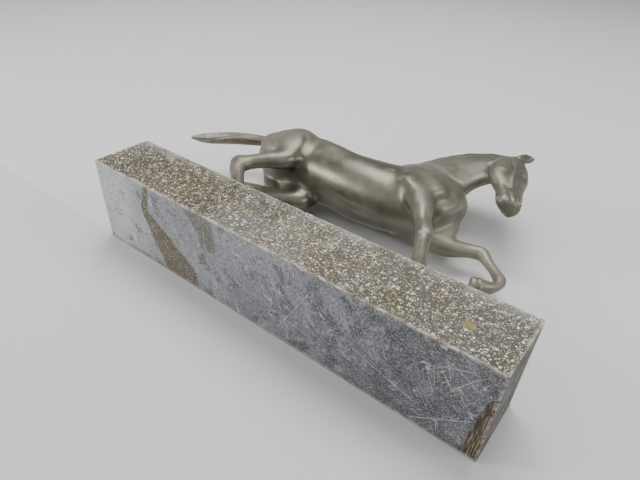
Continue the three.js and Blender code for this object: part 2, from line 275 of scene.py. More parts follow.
# %% Muscle rolls
MUSCLES = {
    "right_blade": [
        (6, -15, 228, 6, 11, 11), (26, -23, 214, 8, 15, 15),
        (46, -26, 200, 8.5, 15, 15), (62, -25, 188, 7, 11, 11),
    ],
    "left_blade": [
        (6, 15, 228, 6, 11, 11), (28, 22, 213, 8, 15, 15),
        (50, 25, 200, 9, 15, 15), (68, 24, 190, 8, 11, 11),
    ],
    "right_triceps": [
        (12, -23, 200, 6, 12, 12), (30, -27, 188, 8, 14, 14), (48, -26, 174, 7, 9, 9),
    ],
    "left_triceps": [
        (14, 23, 194, 6, 12, 12), (36, 26, 184, 8, 13, 13), (60, 25, 174, 7, 9, 9),
    ],
    "right_breast": [
        (64, -9, 218, 8, 9, 9), (71, -10, 202, 10, 12, 12), (68, -12, 184, 8, 10, 10),
    ],
    "left_breast": [
        (66, 9, 218, 8, 9, 9), (74, 10, 202, 10, 12, 12), (80, 14, 186, 9, 9, 9),
    ],
    "right_forearm": [
        (52, -24, 176, 6, 9, 8), (62, -24.5, 160, 6, 8, 7), (73, -21, 143, 4, 4.5, 4.5),
    ],
    "right_haunch": [
        (-128, -16, 214, 10, 14, 14), (-114, -23, 198, 12, 20, 18),
        (-101, -25, 178, 11, 18, 16), (-93, -22, 160, 7, 9, 9),
    ],
    "left_haunch": [
        (-128, 16, 214, 10, 14, 14), (-108, 23, 196, 12, 20, 18),
        (-88, 24, 174, 11, 18, 16), (-74, 21, 154, 7, 9, 9),
    ],
    "right_hamstring": [
        (-146, -12, 204, 8, 10, 9), (-142, -17, 184, 9, 12, 10),
        (-128, -20, 162, 7, 10, 9), (-113, -21, 146, 5, 6, 6),
    ],
    "left_hamstring": [
        (-146, 12, 204, 8, 10, 9), (-138, 17, 180, 9, 12, 10),
        (-120, 19, 158, 7, 10, 9), (-100, 20, 142, 5, 6, 6),
    ],
    "right_hock": [
        (-128, -18, 137, 3.4, 3.6, 3.6), (-137, -18, 123, 4.4, 4.6, 5.4),
        (-134, -18, 116, 4.4, 4.6, 4.6), (-124, -18, 106, 4, 4, 4),
    ],
    "left_hock": [
        (-126, 17, 139, 3.4, 3.6, 3.6), (-139, 17, 130, 4.4, 4.6, 5.4),
        (-140, 17, 124, 4.4, 4.6, 4.6), (-131, 17, 112, 4, 4, 4),
    ],
    "right_flank": [
        (-88, -23, 200, 8, 13, 13), (-66, -24.5, 194, 8.5, 14, 14),
        (-40, -24.5, 192, 8, 12, 12),
    ],
    "left_flank": [
        (-82, 23, 200, 8, 13, 13), (-62, 24.5, 194, 8.5, 14, 14),
        (-40, 24.5, 192, 8, 12, 12),
    ],
    "crest": [
        (4, -1, 250, 6, 9, 8), (20, -4.5, 282, 6, 10, 8), (42, -10.5, 303.5, 5.6, 9, 7),
        (66, -15.5, 312, 5.4, 7.5, 6), (84, -17.5, 313, 5.6, 6, 6),
        (98, -17.5, 306, 5, 6, 6),
    ],
    "throat": [
        (62, -6, 236, 8, 9, 9), (70, -11, 258, 7, 8, 8), (82, -16, 276, 8, 9, 9),
    ],
}
print(len(MUSCLES), "muscle rolls")

# %% [markdown]
# The ears are flat leaves that lean forwards. They are turned with the head, so that their
# hollow sides face where the horse looks.

# %% Ear rolls
EARS = {
    "right_ear": [
        (94.5, -26.5, 304, 3.6, 3.2, 3.2),
        (97, -26.8, 309, 5, 2.8, 2.8),
        (100.5, -26, 315.5, 5.6, 2, 2),
        (104, -24.5, 322, 4, 1.5, 1.5),
        (106.5, -23.5, 326.5, 1.6, 1, 1),
    ],
    "left_ear": [
        (86.4, -11.6, 301.1, 3.6, 3.2, 3.2),
        (86.7, -7.9, 305.3, 5, 2.8, 2.8),
        (88.3, -3.5, 311.1, 5.6, 2, 2),
        (90.4, 0.5, 317.1, 4, 1.5, 1.5),
        (91.9, 3.3, 321.3, 1.6, 1, 1),
    ],
}
print(len(EARS), "ears")

# %% [markdown]
# ## Fusing
# Overlapping rolls are not one body yet. A voxel remesh keeps only their common outside, as a
# mould would. What is left are sharp creases where two rolls met. Fairing moves every point
# towards the mean of its neighbours: all the way where that is outwards, so that a crease fills,
# and only part of the way where it is inwards, so that a muscle keeps its swell.

# %% Meshes from arrays


def build_mesh(name, points, faces):
    mesh = bpy.data.meshes.new(name)
    mesh.from_pydata(np.asarray(points) * MM, [], faces)
    mesh.update()
    return mesh


def build_object(name, mesh):
    piece = bpy.data.objects.new(name, mesh)
    bpy.context.scene.collection.objects.link(piece)
    return piece


def join_rolls(rolls):
    points, faces, start = [], [], 0
    for p, f in rolls:
        points.append(p)
        faces += [tuple(int(i) + start for i in face) for face in f]
        start += len(p)
    return np.vstack(points), faces


# %% [markdown]
# The finer the voxel, the more the small forms survive. One millimetre keeps the ears and the
# tendons, and still fuses in a few seconds.

# %% Fuse the rolls
VOXEL = 1.0


def fuse(points, faces, voxel):
    """The outside of overlapping closed bodies, as even quads about one voxel wide."""
    clay = build_object("clay", build_mesh("clay", points, faces))
    mould = clay.modifiers.new("fuse", "REMESH")
    mould.mode = "VOXEL"
    mould.voxel_size = voxel * MM
    depsgraph = bpy.context.evaluated_depsgraph_get()
    mesh = bpy.data.meshes.new_from_object(clay.evaluated_get(depsgraph))
    bpy.data.objects.remove(clay)
    return mesh


rolls = [
    roll(BARREL, 90, 56, (0.5, 0.25), 2.1),
    roll(NECK, 50, 36, (0.3, 0.4)),
    roll(HEAD, 50, 32, (0.5, 0.45), turn=HEAD_TURN),
    roll(TAIL, 60, 24, (0.5, 0.8)),
    roll(RIGHT_FORELEG, 90, 24, (0.6, 0.1)),
    roll(LEFT_FORELEG, 90, 24, (0.6, 0.08)),
    roll(RIGHT_HINDLEG, 90, 24, (0.6, 0.1)),
    roll(LEFT_HINDLEG, 90, 24, (0.6, 0.1)),
]
rolls += [roll(stations, 30, 20, (0.7, 0.7)) for stations in MUSCLES.values()]
rolls += [roll(stations, 30, 20, (0.7, 0.7), turn=HEAD_TURN) for stations in EARS.values()]
horse = fuse(*join_rolls(rolls), VOXEL)
print("fused horse:", len(horse.vertices), "points")

# %% [markdown]
# The skin is worked on as arrays: all its points are read at once, moved by one formula and
# written back. Points, edges and normals each have a small reader.

# %% Read and write the skin


def read_points(mesh):
    flat = np.empty(len(mesh.vertices) * 3)
    mesh.vertices.foreach_get("co", flat)
    return flat.reshape(-1, 3) / MM


def write_points(mesh, points):
    mesh.vertices.foreach_set("co", (points * MM).ravel())
    mesh.update()


def read_edges(mesh):
    flat = np.empty(len(mesh.edges) * 2, int)
    mesh.edges.foreach_get("vertices", flat)
    return flat.reshape(-1, 2)


def read_normals(mesh):
    flat = np.empty(len(mesh.vertices) * 3)
    mesh.vertex_normals.foreach_get("vector", flat)
    return flat.reshape(-1, 3)


print("horse from x =", read_points(horse)[:, 0].min().round(1), "mm")

# %% [markdown]
# Fairing is the sculptor's thumb. The whole skin gets a little of it, and the trunk gets more,
# because a barrel shows every lump in its highlights.

# %% Fair the skin


def neighbour_mean(values, edges):
    """For each point, the mean of the values at the other ends of its edges."""
    a, b = edges.T
    n = len(values)
    count = np.bincount(a, minlength=n) + np.bincount(b, minlength=n)
    flat = values.reshape(n, -1)
    total = np.stack([
        np.bincount(a, flat[b, k], n) + np.bincount(b, flat[a, k], n) for k in range(flat.shape[1])
    ], axis=1)
    return (total / np.maximum(count, 1)[:, None]).reshape(values.shape)


def fair(mesh, rounds, fill, flatten, where=None):
    """Each round moves a point to p + k * (mean of neighbours - p), where k is fill if that
    move points out of the body and flatten if it points in. An optional function of the
    points weighs the move from place to place."""
    points, edges = read_points(mesh), read_edges(mesh)
    weight = 1.0 if where is None else where(points)[:, None]
    for step in range(rounds):
        if step % 6 == 0:
            write_points(mesh, points)
            normals = read_normals(mesh)
        move = neighbour_mean(points, edges) - points
        outward = (move * normals).sum(axis=1) > 0
        points = points + weight * move * np.where(outward, fill, flatten)[:, None]
    write_points(mesh, points)


def trunk(points):
    """1 on the trunk and the root of the neck, easing to 0 towards the limbs and the head. The
    lower limit rises over the forelegs and dips at the fold of the stifle."""
    x, y, z = points.T
    low = 150 + 20 * np.exp(-(((x - 82) / 18) ** 2)) - 16 * np.exp(-(((x + 78) / 22) ** 2))
    up = np.clip((z - low) / 22, 0, 1)
    return up * np.clip((92 - x) / 14 + np.clip((z - 240) / 20, 0, 1) * (x < 84), 0, 1) * (x > -150)


before = read_points(horse)
fair(horse, 36, 0.9, 0.16)
fair(horse, 60, 0.8, 0.5, trunk)
print("fairing moved the skin by up to", np.abs(read_points(horse) - before).max().round(1), "mm")

# %% [markdown]
# ## Tool marks
# Creases, tendons, the line of the mouth and the locks of the mane are drawn on the fused skin.
# A mark is a path near the skin. Points near it move along their normal by a bell-shaped amount,
# so a mark needs no mesh of its own and can't leave a gap.

# %% Marks on the skin


def nearest_on_path(points, path):
    """Distance from each point to a path of straight steps, and how far along it (0 to 1)."""
    path = np.asarray(path, float)
    steps = np.diff(path, axis=0)
    length = np.linalg.norm(steps, axis=1)
    start = np.r_[0, np.cumsum(length)][:-1]
    rel = points[:, None] - path[:-1]
    t = np.clip((rel * steps).sum(-1) / (length**2), 0, 1)
    gap = np.linalg.norm(rel - t[..., None] * steps, axis=-1)
    best = gap.argmin(axis=1)
    row = np.arange(len(points))
    return gap[row, best], (start[best] + t[row, best] * length[best]) / length.sum()


def bend(path, count=14):
    """The same smooth curve that the rolls follow, through the points of a path."""
    return smooth_rows(path, count)


def mark(points, normals, path, width, height, ends=0.15):
    """Move points by height * exp(-(distance / width)^2) along their normals, easing to
    nothing over the first and last part of the path."""
    path = bend(path)
    near = np.all((points > path.min(0) - 3 * width) & (points < path.max(0) + 3 * width), axis=1)
    distance, along = nearest_on_path(points[near], path)
    ease = np.clip(np.minimum(along, 1 - along) / ends, 0, 1)
    amount = height * np.exp(-((distance / width) ** 2)) * ease
    points[near] += normals[near] * amount[:, None]


def both(path):
    """A path and its mirror image on the other side of the horse."""
    path = np.asarray(path, float)
    return [path, path * [1, -1, 1]]


# %% [markdown]
# Most marks on the trunk come in pairs, one on each flank. Those on the legs differ from leg to
# leg, because each leg is in another step of the stride. Creases go in and bony points come out.

# %% Marks on the body
BODY_MARKS = [
    # path, width, height
    ([(4, -22, 232), (12, -30, 214), (18, -34, 198), (20, -35, 186)], 3.6, -0.9),
    ([(42, -33, 204), (47, -30, 220), (51, -21, 236), (61, -15, 241), (71, -9, 239)], 1.7, -1.0),
    ([(24, -34, 180), (38, -33, 171), (50, -31, 164)], 3.0, -0.6),
    ([(-100, -36, 196), (-90, -35, 180), (-84, -30, 164), (-84, -24, 154)], 3.5, -1.2),
    ([(-134, -28, 204), (-128, -32, 184), (-116, -30, 164), (-106, -27, 150)], 2.6, -1.2),
    ([(60, -27, 168), (70, -27, 152), (77, -25, 142)], 1.8, -0.6),
    ([(82, 0, 212), (84, 0, 198), (80, 0, 184), (72, 0, 170)], 3.5, -1.5),
    ([(-60, 0, 159), (-20, 0, 154), (20, 0, 154)], 3.0, -0.7),
    ([(-150, 0, 222), (-110, 0, 229), (-60, 0, 221)], 3.5, -0.7),
    ([(-64, -20, 216), (-40, -31, 204), (-10, -33, 200), (10, -33, 208)], 6.0, -0.6),
]
LEG_MARKS = [
    # the groove in front of the Achilles tendon, and the one beside each cannon's tendon
    ([(-110, -27, 146), (-119, -25, 134), (-126, -24, 126)], 2.0, -1.1),
    ([(-110, -14, 146), (-119, -12, 134), (-126, -12, 126)], 2.0, -1.1),
    ([(-98, 26, 141), (-114, 24, 134), (-127, 23, 130)], 2.0, -1.1),
    ([(-98, 11, 141), (-114, 10, 134), (-127, 10, 130)], 2.0, -1.1),
    ([(-120, -23.5, 105), (-106, -22.5, 90), (-97, -21.5, 79)], 1.3, -0.55),
    ([(-122, 10.5, 107), (-112, 10.5, 94), (-103, 10.5, 81)], 1.3, -0.55),
    ([(-122, 21.5, 107), (-112, 21.5, 94), (-103, 21.5, 81)], 1.3, -0.55),
    ([(81, -23, 122), (89, -22, 105), (98, -21.5, 86)], 1.3, -0.55),
    ([(81, -12, 122), (89, -12, 105), (98, -11.5, 86)], 1.3, -0.55),
    ([(120, 25, 181), (130, 25, 172), (139, 25, 164)], 1.2, -0.5),
    ([(120, 15, 181), (130, 15, 172), (139, 15, 164)], 1.2, -0.5),
    # bony points of the knees and hocks
    ([(85, -24.5, 132), (86, -24, 126)], 3.0, 0.7),
    ([(88, -18, 134), (90, -18, 126)], 3.0, 0.7),
    ([(120, 26, 190), (122, 26, 186)], 3.0, 0.6),
    ([(-130, -25, 122), (-126, -24.5, 116)], 3.2, 0.7),
    ([(-134, 24, 126), (-130, 23.5, 120)], 3.2, 0.7),
]
NECK_MARKS = [
    # the jugular groove, and the line where the neck lies on the shoulder
    ([(62, -27, 236), (66, -25, 252), (73, -24, 268), (80, -26, 280)], 2.8, -0.7),
    ([(62, 20, 236), (62, 12, 252), (68, 3, 268), (76, -4, 280)], 2.8, -0.7),
    ([(4, -20, 244), (22, -26, 240), (38, -27, 236)], 4.0, -0.6),
    ([(4, 20, 244), (22, 26, 240), (40, 27, 236)], 4.0, -0.6),
]

points, normals = read_points(horse), read_normals(horse)
for path, width, height in BODY_MARKS:
    sides = [np.asarray(path, float)] if abs(path[0][1]) < 1 else both(path)
    for side in sides:
        mark(points, normals, side, width, height)
for path, width, height in LEG_MARKS + NECK_MARKS:
    mark(points, normals, path, width, height, 0.2)
write_points(horse, points)
fair(horse, 3, 0.5, 0.35)
print("marks:", len(BODY_MARKS) + len(LEG_MARKS) + len(NECK_MARKS), "and their mirror images")

# %% [markdown]
# The mane falls from the crest in locks. It is cut into the whole skin, before the sawing, so
# the locks run on from the neck to the head without a step at the seam.

# %% Locks of the mane
CREST = bend([(-6, 0, 240), (-1, -2, 262), (10, -4, 288), (30, -8, 309), (52, -13, 319.5),
              (74, -17, 321), (90, -18, 317), (101, -17, 308)], 40)


def locks(points, normals, path, reach, count, height, lean):
    """Strands that leave a path sideways: height times a rounded comb of the place along the
    path, leaning back by lean for each millimetre away, and dying out at reach."""
    near = np.all((points > path.min(0) - reach) & (points < path.max(0) + reach), axis=1)
    distance, along = nearest_on_path(points[near], path)
    phase = count * (along + lean * distance) + 0.35 * np.sin(9 * along + 0.3 * distance)
    comb = np.abs(np.sin(np.pi * phase)) ** 0.7 - 0.6
    comb += 0.35 * np.sin(2 * np.pi * (0.37 * phase + 0.2))
    fade = np.clip(1.15 - distance / reach * (1 + 0.25 * np.sin(7.3 * phase)), 0, 1) ** 0.8
    points[near] += normals[near] * (height * comb * fade + 0.6 * fade)[:, None]


points, normals = read_points(horse), read_normals(horse)
locks(points, normals, CREST, 17, 19, 1.3, 0.014)
write_points(horse, points)
fair(horse, 1, 0.5, 0.3)
print("crest of", len(CREST), "points")

# %% [markdown]
# ## Sawing the castings apart
# A bronze this size is poured in pieces and welded. The seams are the flat cuts of the packed
# model. Each piece becomes a closed body of its own whose cut is filled with a flat face, so
# the pieces meet face to face and the join can hardly be seen, as on a well chased bronze.

# %% Seams
# where the block starts, the way it lies, its depth and span, and its sides in y
SEAMS = {
    "head": ((84, 0, 275), (1, 0, 0), 70, 130, -65, 15),
    "neck": ((40, 0, 246), (0.25, 0, 0.967), 120, 130, -60, 60),
    "right_foreleg": ((62, 0, 160), (0.57, 0, -0.82), 140, 75, -45, -3),
    "left_foreleg": ((87, 0, 160), (1, 0, 0), 80, 84, 2, 45),
    "right_hindleg": ((-108, 0, 143), (-0.4, 0, -0.917), 100, 150, -45, -3),
    "left_hindleg": ((-100, 0, 142), (-0.4, 0, -0.917), 100, 150, 2, 45),
    "tail": ((-165, 0, 200), (-1, 0, 0), 100, 160, -40, 40),
}
print("seams:", ", ".join(SEAMS))

# %% [markdown]
# Each casting is what lies in one block: the cut is one face of the block, and the other five
# only keep it clear of the neighbouring legs.

# %% A sawing block


def block_sides(at, away, deep, span, low, high):
    """The six faces of a block that starts at a cut and reaches deep away from it."""
    along = unit(np.array(away, float))
    across = np.cross([0.0, 1.0, 0.0], along)
    at = np.array(at, float)
    return [
        (at, -along), (at + along * deep, along),
        (at - across * span / 2, -across), (at + across * span / 2, across),
        (np.array([0.0, low, 0.0]), np.array([0.0, -1.0, 0.0])),
        (np.array([0.0, high, 0.0]), np.array([0.0, 1.0, 0.0])),
    ]


def inside(block, centres):
    """True where a centre lies behind every face of the block."""
    return np.all([((centres - p) @ n) < 0 for p, n in block_sides(*block)], axis=0)


def face_centres(body):
    return np.array([face.calc_center_median()[:] for face in body.faces]) / MM


print("the head's block has", len(block_sides(*SEAMS["head"])), "faces")

# %% [markdown]
# A cut has three steps: split the faces that the plane crosses, throw away the far side, and
# fill the rim. Only faces within reach of the cut are split, so the saw can't mark another leg.

# %% Cut and cap
REACH = 4.0
SIDE_REACH = 2.0


def cut_plane(body, place, normal, near):
    """Split the chosen faces where they cross a plane."""
    body.faces.ensure_lookup_table()
    faces = [body.faces[i] for i in np.flatnonzero(near)]
    parts = set(faces)
    for face in faces:
        parts.update(face.verts)
        parts.update(face.edges)
    bmesh.ops.bisect_plane(
        body, geom=list(parts), plane_co=Vector(place) * MM, plane_no=Vector(normal), dist=1e-6
    )


def cap_holes(body):
    """Fill every open rim with one flat face, its edges sharp, and face everything outwards."""
    rim = [edge for edge in body.edges if edge.is_boundary]
    filled = bmesh.ops.triangle_fill(body, use_beauty=True, use_dissolve=False, edges=rim)
    caps = [g for g in filled["geom"] if isinstance(g, bmesh.types.BMFace)]
    for edge in rim:
        edge.smooth = False
    for face in body.faces:
        face.smooth = True
    for face in caps:
        face.smooth = False
    bmesh.ops.recalc_face_normals(body, faces=body.faces)


def detach(body, block):
    """Saw the piece in a block off the body and return it. Both keep closed skins."""
    (place, normal), *walls = block_sides(*block)
    centres = face_centres(body)
    near = np.abs((centres - place) @ normal) < REACH
    near &= np.all([((centres - p) @ n) < SIDE_REACH for p, n in walls], axis=0)
    cut_plane(body, place, normal, near)
    mine = inside(block, face_centres(body))
    piece = body.copy()
    for mesh, keep in ((piece, mine), (body, ~mine)):
        mesh.faces.ensure_lookup_table()
        gone = [mesh.faces[i] for i in np.flatnonzero(~keep)]
        bmesh.ops.delete(mesh, geom=gone, context="FACES")
        cap_holes(mesh)
    return piece


# %% [markdown]
# The planted legs are first sawn off level, just above the stone. Then the seams follow one
# after another, and what is left at the end is the torso.

# %% Saw the horse
whole = bmesh.new()
whole.from_mesh(horse)
low = np.abs(face_centres(whole)[:, 2] - GROUND) < REACH
cut_plane(whole, (0, 0, GROUND), (0, 0, 1), low)
whole.faces.ensure_lookup_table()
below = face_centres(whole)[:, 2] < GROUND
bmesh.ops.delete(whole, geom=[whole.faces[i] for i in np.flatnonzero(below)], context="FACES")
cap_holes(whole)
castings = {}
for name, block in SEAMS.items():
    castings[name] = detach(whole, block)
castings["torso"] = whole
for name, body in castings.items():
    mesh = bpy.data.meshes.new(name)
    body.to_mesh(mesh)
    castings[name] = mesh
    print(name, len(mesh.polygons), "faces")

# %% [markdown]
# ## The head, mane and tail up close
# These carry the finest work, so their skins are divided once more before they are marked. The
# head's features are placed in its own directions: a runs from the poll down to the muzzle,
# f towards the front of the face and s towards the horse's left cheek.

# %% Finer skins


def rim_edges(mesh):
    """True for the sharp edges, which are the rims of the sawn faces."""
    flags = np.zeros(len(mesh.edges), bool)
    mesh.attributes["sharp_edge"].data.foreach_get("value", flags)
    return flags


def refine(mesh):
    """One step of smooth subdivision that keeps the sawn faces flat."""
    layer = mesh.attributes.new("crease_edge", "FLOAT", "EDGE")
    layer.data.foreach_set("value", rim_edges(mesh).astype(float))
    work = build_object("work", mesh)
    finer = work.modifiers.new("finer", "SUBSURF")
    finer.levels = finer.render_levels = 1
    depsgraph = bpy.context.evaluated_depsgraph_get()
    fine = bpy.data.meshes.new_from_object(work.evaluated_get(depsgraph))
    bpy.data.objects.remove(work)
    return fine


def away_from_rim(mesh, reach=8):
    """0 at the sawn rim, rising to 1 over a number of rounds of neighbours."""
    edges = read_edges(mesh)
    near = np.zeros(len(mesh.vertices))
    near[edges[rim_edges(mesh)].ravel()] = 1.0
    for _ in range(reach):
        spread = near.copy()
        np.maximum.at(spread, edges[:, 0], near[edges[:, 1]] - 1 / reach)
        np.maximum.at(spread, edges[:, 1], near[edges[:, 0]] - 1 / reach)
        near = spread
    return 1 - near


for name in ("head", "neck", "tail"):
    castings[name] = refine(castings[name])
    print(name, "refined to", len(castings[name].polygons), "faces")

# %% [markdown]
# The head hangs down, leans and is turned to the right, so its features are given in its own
# three directions, and one function turns those into places.

# %% The head's own directions
POLL, MUZZLE = (np.array(HEAD[i][:3], float) for i in (0, -1))
_, across, front = path_frames(np.array([POLL, MUZZLE]), HEAD_TURN)
HEAD_DOWN, HEAD_LEFT, HEAD_FRONT = unit(MUZZLE - POLL), across[0], front[0]


def on_head(a, f, s):
    return POLL + HEAD_DOWN * a + HEAD_FRONT * f + HEAD_LEFT * s


def head_path(*steps):
    return [on_head(*step) for step in steps]


print("down the head:", HEAD_DOWN.round(2), "to its front:", HEAD_FRONT.round(2))

# %% [markdown]
# Eyes and nostrils are rises and hollows around a middle, so a formula of the distance from
# that middle makes them. The brow, the cheek, the nasal bone and the mouth are marks on paths.

# %% Eyes and nostrils


def eye(points, normals, a, f, s):
    """A ball between two lids. In the tilted almond distance r from the eye's middle it is a
    rounded rise, a narrow groove at its edge, and a lid that is fuller above than below."""
    rel = points - on_head(a, f, s)
    along, front = rel @ HEAD_DOWN, rel @ HEAD_FRONT
    along, front = along + 0.35 * front, front - 0.2 * along
    r = np.sqrt((along / 1.45) ** 2 + (front / (1 - 0.06 * np.abs(along))) ** 2)
    amount = 0.75 * np.exp(-((r / 1.9) ** 4)) - 0.65 * np.exp(-(((r - 2.2) / 0.6) ** 2))
    amount += np.exp(-(((r - 3.1) / 0.9) ** 2)) * np.where(front > 0, 0.75, 0.35)
    amount *= (np.linalg.norm(rel, axis=1) < 9) & (np.sign(rel @ HEAD_LEFT + s) == np.sign(s))
    points += normals * amount[:, None]


def nostril(points, normals, a, f, s):
    """A comma-shaped hollow with a flared rim."""
    rel = points - on_head(a, f, s)
    along, front = rel @ HEAD_DOWN, rel @ HEAD_FRONT
    r = np.sqrt(((along + 0.5 * front) / 1.7) ** 2 + ((front - 0.4 * along) / 0.95) ** 2)
    amount = -2.0 * np.exp(-((r / 1.5) ** 2)) + 0.9 * np.exp(-(((r - 2.8) / 1.0) ** 2))
    amount *= np.linalg.norm(rel, axis=1) < 8
    points += normals * amount[:, None]


head = castings["head"]
points, normals = read_points(head), read_normals(head)
print("head:", len(points), "points to work on")

# %% [markdown]
# Both sides of the head are worked from the same numbers, with the sideways one changing sign.
# Near the seam the work fades out, so the sawn face keeps its rim.

# %% Features of the head
for side in (-1, 1):
    eye(points, normals, 46, 1.5, side * 13.3)
    nostril(points, normals, 92, 1.5, side * 7.5)
    marks = [
        # brow, hollow behind the eye, facial crest, edges of the nasal bone, hollow beside it
        (head_path((40, 4, 13 * side), (46, 6.5, 12 * side), (53, 5, 11.5 * side)), 1.8, 0.9),
        (head_path((30, 1, 14 * side), (37, -4, 14 * side), (45, -6, 13.5 * side)), 1.7, -1.3),
        (head_path((48, -9, 13 * side), (62, -10, 12 * side), (78, -8, 9.5 * side)), 2.0, 1.1),
        (head_path((30, 13, 7 * side), (55, 9, 7 * side), (86, 6, 6 * side)), 2.6, 0.8),
        (head_path((53, 4, 11 * side), (62, 2, 10 * side), (74, 1, 9 * side)), 2.4, -1.1),
        # edge of the cheek disc
        (head_path((26, -14, 12 * side), (40, -11, 14 * side), (58, -15, 12.5 * side),
                   (66, -22, 9 * side)), 1.8, -1.0),
        (head_path((30, -20, 10 * side), (44, -20, 12 * side), (56, -22, 10 * side)), 5.0, 0.8),
        # corner and line of the mouth, lips and chin
        (head_path((84, -11, 9 * side), (90, -9.5, 9 * side), (98, -5.5, 7 * side)), 0.9, -1.3),
        (head_path((83, -7, 9.5 * side), (90, -5.5, 9.5 * side), (97, -2, 7 * side)), 1.8, 0.6),
        (head_path((80, -16, 7 * side), (88, -15, 7 * side), (94, -13, 6 * side)), 2.6, 0.9),
        (head_path((72, -17, 8 * side), (76, -14, 9 * side), (80, -12, 9 * side)), 2.2, -0.9),
    ]
    for path, width, height in marks:
        mark(points, normals, path, width, height, 0.2)
EAR_HOLLOWS = (
    ((99.5, -28.5, 309), (102.5, -27.8, 314.5), (105.5, -26, 320.5)),
    ((93, -9.5, 309), (95, -9, 314.5), (97.5, -9.2, 320)),
)
for hollow_path in EAR_HOLLOWS:
    mark(points, normals, hollow_path, 2.2, -1.6, 0.25)
for lean in (-3, -1, 1, 3):
    lock = head_path((-3, 8, lean * 0.6), (8, 13, lean), (20, 16.5, lean * 0.8 + 0.6))
    mark(points, normals, lock, 1.1, 0.7, 0.3)
still = read_points(head)
points = still + (points - still) * away_from_rim(head)[:, None]
write_points(head, points)
print("the muzzle is at", on_head(92, 1.5, 0).round(1))

# %% [markdown]
# The hair of the mane and the tail is a comb of fine grooves on the finer skins. The comb fades
# out at the sawn rims, where two pieces have to meet.

# %% Strands of the mane and the tail


def strands(points, normals, stations, count, height, twist):
    """Strands that run along a roll: height times a comb of the angle around its path,
    turning slowly on the way, deeper towards the tip."""
    rows = smooth_rows(stations, 60)
    _, along = nearest_on_path(points, rows[:, :3])
    i = np.clip(np.round(along * 59).astype(int), 0, 59)
    _, across, front = path_frames(rows[:, :3], 0.0)
    rel = points - rows[i, :3]
    angle = np.arctan2((rel * front[i]).sum(1), (rel * across[i]).sum(1))
    phase = count * angle / (2 * np.pi) + twist * along + 0.25 * np.sin(12 * along + 2 * angle)
    comb = np.abs(np.sin(np.pi * phase)) ** 0.8 - 0.6 + 0.3 * np.sin(2 * np.pi * 2.3 * phase)
    ease = np.clip((along - 0.12) / 0.25, 0, 1) * np.clip((0.99 - along) / 0.08, 0.2, 1)
    points += normals * (height * comb * ease)[:, None]


points, normals = read_points(castings["neck"]), read_normals(castings["neck"])
moved = points.copy()
locks(moved, normals, CREST, 15, 52, 0.24, 0.016)
points += (moved - points) * away_from_rim(castings["neck"])[:, None]
write_points(castings["neck"], points)

points, normals = read_points(castings["tail"]), read_normals(castings["tail"])
moved = points.copy()
strands(moved, normals, TAIL, 9, 0.55, 1.5)
points += (moved - points) * away_from_rim(castings["tail"])[:, None]
write_points(castings["tail"], points)
print("strands on", len(points), "points of the tail")

# %% [markdown]
# A hoof is a plain cone of horn. What makes it read as a hoof is the swelling where the hair
# ends, the coronet, and the step under it, so those are added and the growth rings only hinted.

# %% Hooves


def hoof(points, normals, place, axis, radius):
    """A raised coronet where hair meets horn, and faint growth rings below it: along is the
    height above the sole, measured up the pastern."""
    along = (points - place) @ axis
    near = (np.linalg.norm(points - place, axis=1) < radius) & (along > -2)
    ring = 0.5 * np.exp(-(((along - 8.5) / 1.0) ** 2)) - 0.45 * np.exp(-(((along - 6.9) / 0.7) ** 2))
    ring += 0.06 * np.sin(2 * np.pi * along / 1.7) * (along < 6)
    points[near] += normals[near] * (ring * (along < 14))[near, None]


HOOVES = {
    "right_foreleg": ((110, -16, 60), (-0.25, 0, 0.97), 18),
    "right_hindleg": ((-85, -16, 60), (-0.3, 0, 0.95), 18),
    "left_hindleg": ((-91, 16, 60), (-0.3, 0, 0.95), 18),
    "left_foreleg": ((126, 20, 139), (0.88, 0, 0.47), 16),
}
for name, (place, axis, radius) in HOOVES.items():
    points, normals = read_points(castings[name]), read_normals(castings[name])
    raised = points[:, 2] > GROUND + 0.2
    moved = points.copy()
    hoof(moved, normals, np.array(place, float), unit(np.array(axis, float)), radius)
    points[raised] = moved[raised]
    write_points(castings[name], points)
print("hooves:", ", ".join(HOOVES))

# %% [markdown]
# ## Where the patina lies
# Patina stays dark in the hollows, where the wax and dirt collect, and wears pale on the ridges.
# A point's hollow value is how far its neighbourhood's mean lies outside it, so it is positive
# in a groove and negative on a ridge. It is stored on the mesh for the material to read.

# %% Hollows and finished pieces


def add_hollow(mesh, reach=10, scale=0.5):
    """hollow = 0.5 + scale * (mean of the surroundings - point) along the normal, limited
    to 0..1, where the mean is taken over reach rounds of neighbours."""
    points, edges, normals = read_points(mesh), read_edges(mesh), read_normals(mesh)
    mean = points
    for _ in range(reach):
        mean = neighbour_mean(mean, edges)
    rise = ((mean - points) * normals).sum(axis=1) * away_from_rim(mesh, reach + 2)
    rise = neighbour_mean(neighbour_mean(rise, edges), edges)
    value = np.clip(0.5 + scale * rise, 0, 1)
    layer = mesh.attributes.new("hollow", "FLOAT", "POINT")
    layer.data.foreach_set("value", value)


castings_done = {}
for name, mesh in castings.items():
    add_hollow(mesh)
    piece = build_object("cast_" + name, mesh)
    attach(piece, "root")
    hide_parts(name)
    castings_done[name] = piece
print("castings:", ", ".join(castings_done))

# %% [markdown]
# ## The stone
# The plinth is one sawn block of dark limestone. Its edges have been knocked about, so they are
# rounded unevenly and chipped in places. Each face is a grid whose cells are small near the
# edges, and one formula rounds the whole block.

# %% A worn block


